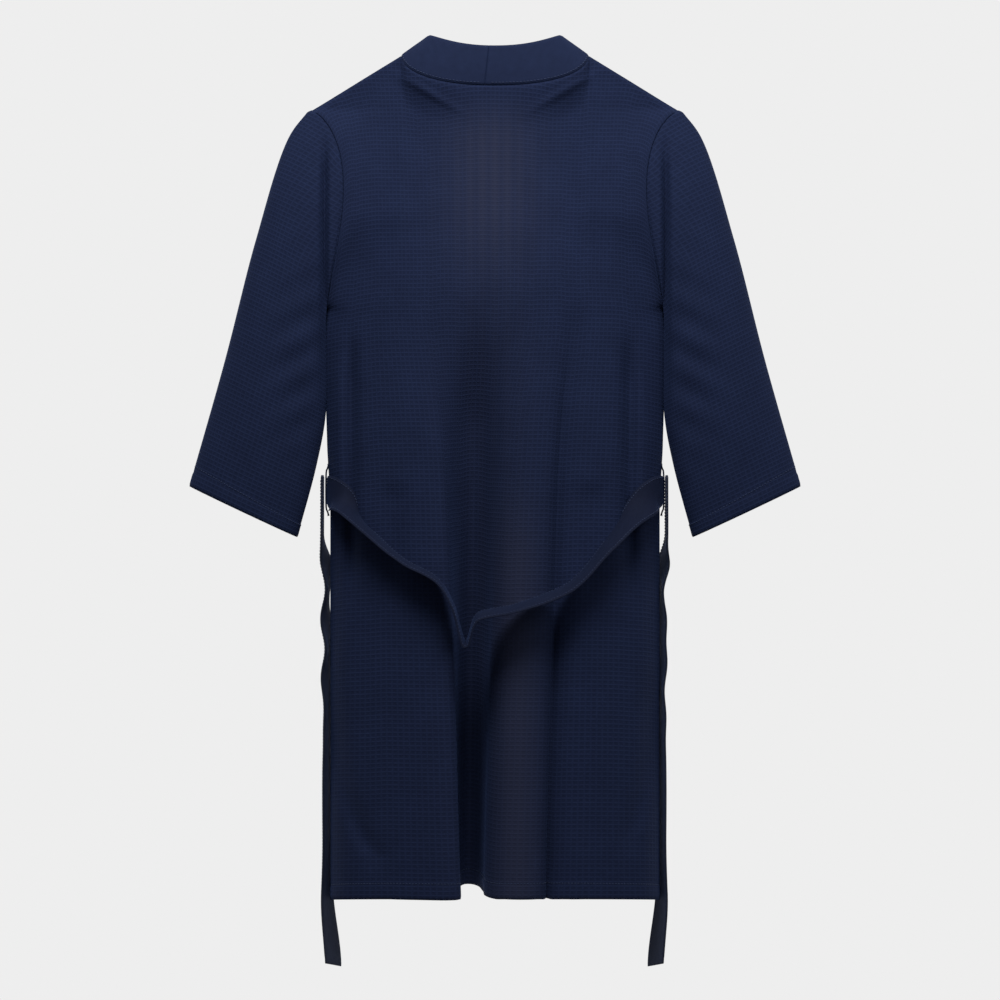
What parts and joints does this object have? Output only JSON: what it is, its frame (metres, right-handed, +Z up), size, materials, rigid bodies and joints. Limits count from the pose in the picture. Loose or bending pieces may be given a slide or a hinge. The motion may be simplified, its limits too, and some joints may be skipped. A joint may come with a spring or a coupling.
{
  "type": "bathrobe",
  "caption": "Kimono bathrobe of textured cotton knit, hanging open in front, with three-quarter sleeves, a neck band and a tie belt that swags across the back.",
  "frame": {"origin": "midway between the high points of the two shoulders, where a hanger carries the robe", "axes": "+Z up, +X to the wearer's left, +Y out of the back; the open front faces -Y"},
  "size_m": [0.7324, 0.1586, 1.122],
  "materials": {
    "navy_knit": "matt waffle knit, soft sheen",
    "navy_band": "matt knit in two layers, top-stitched",
    "navy_belt": "matt knit, folded and stitched",
    "navy_tape": "twill tape",
    "blank_label": "woven satin, blank"
  },
  "bodies": {
    "robe_body": {"back_panel": "navy_knit", "neck_tape": "navy_tape", "neck_label": "blank_label", "left_front_panel": "navy_knit", "left_neck_band": "navy_band", "left_belt_loop": "navy_belt", "right_front_panel": "navy_knit", "right_neck_band": "navy_band", "right_belt_loop": "navy_belt"},
    "belt_swag": {"belt_swag": "navy_belt"},
    "hang_loop": {"hang_loop": "navy_tape"},
    "left_front": {"left_front_flap": "navy_knit", "left_front_band": "navy_band"},
    "left_sleeve": {"left_sleeve": "navy_knit"},
    "left_belt_tail": {"left_belt_tail": "navy_belt"},
    "right_front": {"right_front_flap": "navy_knit", "right_front_band": "navy_band"},
    "right_sleeve": {"right_sleeve": "navy_knit"},
    "right_belt_tail": {"right_belt_tail": "navy_belt"}
  },
  "joints": [
    {"name": "left_sleeve_raise", "type": "hinge", "parent": "robe_body", "child": "left_sleeve", "pos_m": [0.2222, 0, -0.0606], "axis": [0, -1, 0], "range_deg": [0, 60]},
    {"name": "left_front_open", "type": "hinge", "parent": "robe_body", "child": "left_front", "pos_m": [0.066, -0.04855, -0.2], "axis": [-0.1301, 0, 0.9915], "range_deg": [0, 85]},
    {"name": "left_tail_swing", "type": "hinge", "parent": "robe_body", "child": "left_belt_tail", "pos_m": [0.2073, -0.01, -0.516], "axis": [1, 0, 0], "range_deg": [-60, 60]},
    {"name": "right_sleeve_raise", "type": "hinge", "parent": "robe_body", "child": "right_sleeve", "pos_m": [-0.2222, 0, -0.0606], "axis": [0, 1, 0], "range_deg": [0, 60]},
    {"name": "right_front_open", "type": "hinge", "parent": "robe_body", "child": "right_front", "pos_m": [-0.066, -0.04855, -0.2], "axis": [-0.1301, 0, -0.9915], "range_deg": [0, 85]},
    {"name": "right_tail_swing", "type": "hinge", "parent": "robe_body", "child": "right_belt_tail", "pos_m": [-0.2073, -0.01, -0.516], "axis": [1, 0, 0], "range_deg": [-60, 60]},
    {"name": "belt_swag_lift", "type": "hinge", "parent": "robe_body", "child": "belt_swag", "pos_m": [0, 0.011, -0.498], "axis": [1, 0, 0], "range_deg": [0, 80]},
    {"name": "hang_loop_flip", "type": "hinge", "parent": "robe_body", "child": "hang_loop", "pos_m": [0, 0.0287, -0.042], "axis": [-1, 0, 0], "range_deg": [0, 170]}
  ]
}
